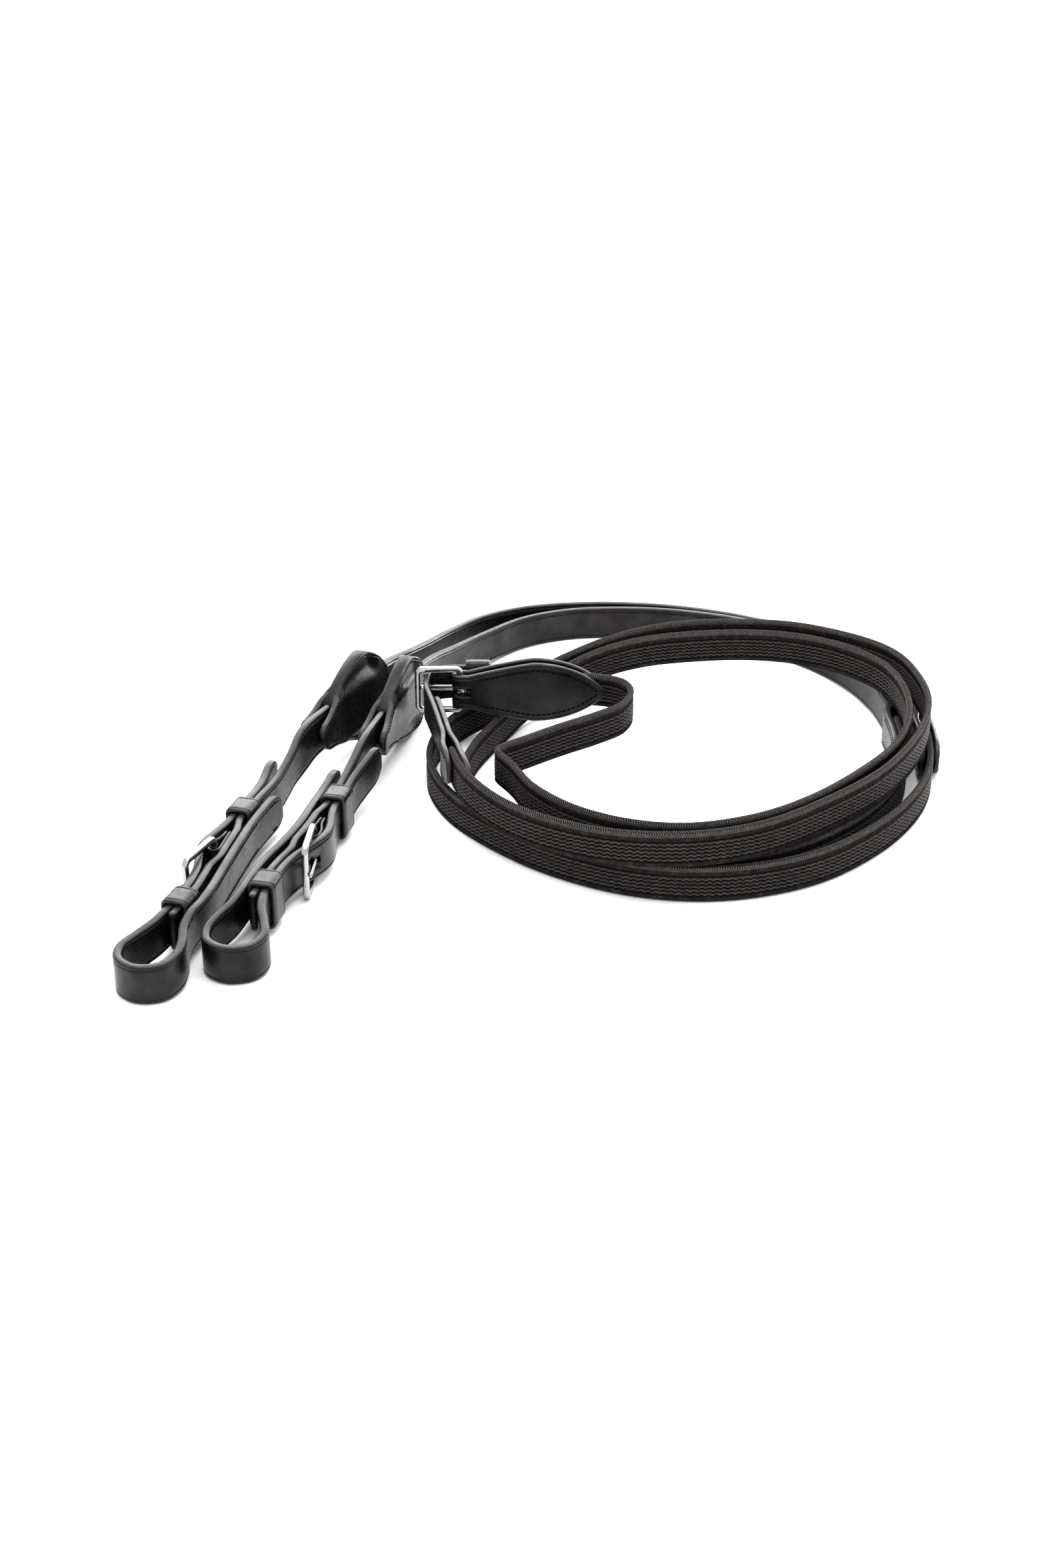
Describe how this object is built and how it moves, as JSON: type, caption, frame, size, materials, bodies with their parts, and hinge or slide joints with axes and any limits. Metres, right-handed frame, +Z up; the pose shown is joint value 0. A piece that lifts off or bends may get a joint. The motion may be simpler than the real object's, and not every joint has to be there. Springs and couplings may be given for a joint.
{
  "type": "horse reins",
  "caption": "Coiled pair of horse reins: flat leather straps with buckled bit ends and leather rein stops, ribbed grip webbing, and a buckled hand join.",
  "frame": {"origin": "on the surface the reins stand on, under the middle of the outline of the coiled reins", "axes": "+Z up, +Y from the bit ends towards the back of the coil, +X to the right when the bit ends point at the viewer"},
  "size_m": [0.3341, 0.3491, 0.042],
  "materials": {
    "leather": "smooth black bridle leather with creased edges, satin sheen",
    "webbing": "woven dark webbing with wavy rubber grip rows",
    "buckle_metal": "polished bright stainless buckle",
    "thread": "waxed black saddler's thread"
  },
  "bodies": {
    "reins": {"left_bit_billet": "leather", "left_bit_buckle_chape": "leather", "left_keeper_lower": "leather", "left_billet_thread": "thread", "left_rein_strap": "leather", "left_splice_overlay": "leather", "left_splice_thread": "thread", "left_grip_web": "webbing", "left_hand_facing": "leather", "left_hand_billet": "leather", "right_bit_billet": "leather", "right_bit_buckle_chape": "leather", "right_keeper_lower": "leather", "right_billet_thread": "thread", "right_rein_strap": "leather", "right_splice_overlay": "leather", "right_splice_thread": "thread", "right_grip_web": "webbing", "right_hand_tab": "leather", "right_tab_thread": "thread", "hand_keeper": "leather"},
    "left_frame": {"left_bit_buckle_frame": "buckle_metal"},
    "left_prong": {"left_bit_buckle_prong": "buckle_metal"},
    "left_runner": {"left_keeper_upper": "leather"},
    "left_stop": {"left_stop_outer": "leather", "left_stop_inner": "leather", "left_stop_thread": "thread"},
    "right_frame": {"right_bit_buckle_frame": "buckle_metal"},
    "right_prong": {"right_bit_buckle_prong": "buckle_metal"},
    "right_runner": {"right_keeper_upper": "leather"},
    "right_stop": {"right_stop_outer": "leather", "right_stop_inner": "leather", "right_stop_thread": "thread"},
    "hand_frame": {"hand_buckle_frame": "buckle_metal"},
    "hand_prong": {"hand_buckle_prong": "buckle_metal"}
  },
  "joints": [
    {"name": "left_frame_tilt", "type": "hinge", "parent": "reins", "child": "left_frame", "pos_m": [-0.13975, -0.08694, 0.0122], "axis": [0, 0, -1], "range_deg": [-1, 2]},
    {"name": "left_prong_tilt", "type": "hinge", "parent": "left_frame", "child": "left_prong", "pos_m": [-0.13975, -0.08694, 0.0122], "axis": [0, 0, -1], "range_deg": [0, 1.5]},
    {"name": "left_runner_slide", "type": "slide", "parent": "reins", "child": "left_runner", "axis": [0.281, 0.9597, 0], "range_m": [-0.001, 0.003]},
    {"name": "left_stop_slide", "type": "slide", "parent": "reins", "child": "left_stop", "axis": [0.394, 0.9191, 0], "range_m": [-0.005, 0.008]},
    {"name": "right_frame_tilt", "type": "hinge", "parent": "reins", "child": "right_frame", "pos_m": [-0.10139, -0.07548, 0.0122], "axis": [0, 0, 1], "range_deg": [-1, 2]},
    {"name": "right_prong_tilt", "type": "hinge", "parent": "right_frame", "child": "right_prong", "pos_m": [-0.10139, -0.07548, 0.0122], "axis": [0, 0, 1], "range_deg": [0, 1.5]},
    {"name": "right_runner_slide", "type": "slide", "parent": "reins", "child": "right_runner", "axis": [0.239, 0.971, 0], "range_m": [-0.003, 0.001]},
    {"name": "right_stop_slide", "type": "slide", "parent": "reins", "child": "right_stop", "axis": [0.25, 0.9682, 0], "range_m": [0, 0.008]},
    {"name": "hand_frame_tilt", "type": "hinge", "parent": "reins", "child": "hand_frame", "pos_m": [-0.0454, 0.043, 0.028], "axis": [0, 0, -1], "range_deg": [-1.5, 1.5]},
    {"name": "hand_prong_tilt", "type": "hinge", "parent": "hand_frame", "child": "hand_prong", "pos_m": [-0.0454, 0.043, 0.028], "axis": [0, 0, -1], "range_deg": [0, 1.2]}
  ]
}
